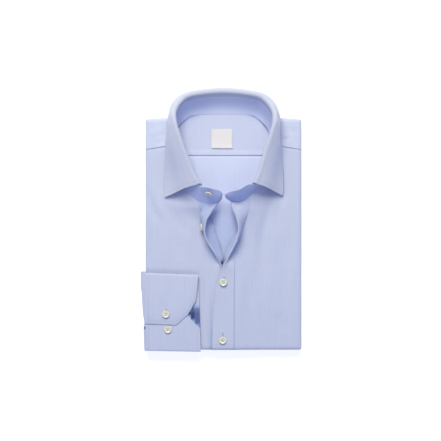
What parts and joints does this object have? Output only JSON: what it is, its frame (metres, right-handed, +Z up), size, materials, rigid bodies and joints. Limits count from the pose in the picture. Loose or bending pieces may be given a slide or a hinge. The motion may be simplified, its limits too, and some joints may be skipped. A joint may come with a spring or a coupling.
{
  "type": "folded long sleeve dress shirt",
  "caption": "Light blue long sleeve dress shirt with a spread collar, folded flat for sale or storage, with one buttoned barrel cuff laid over its front.",
  "frame": {"origin": "on the surface the folded shirt lies on, under the middle of the packet", "axes": "+Z up out of the surface, +Y from the hem fold towards the back of the collar, +X across the front"},
  "size_m": [0.2428, 0.3946, 0.0635],
  "materials": {
    "shirting": "smooth light blue cotton twill",
    "label": "off-white woven patch, blank",
    "button": "pearly cream, soft gloss"
  },
  "bodies": {
    "root": {"folded_layers": "shirting", "back": "shirting", "yoke": "shirting", "neck_label": "label", "front_button_side": "shirting", "front_buttonhole_side": "shirting", "placket_button_side": "shirting", "placket_buttonhole_side": "shirting", "collar_band": "shirting", "collar_leaf": "shirting", "sleeve": "shirting", "cuff": "shirting", "button_band": "button", "button_placket_1": "button", "button_placket_2": "button", "button_placket_3": "button", "button_cuff_1": "button", "button_cuff_2": "button"}
  },
  "joints": []
}
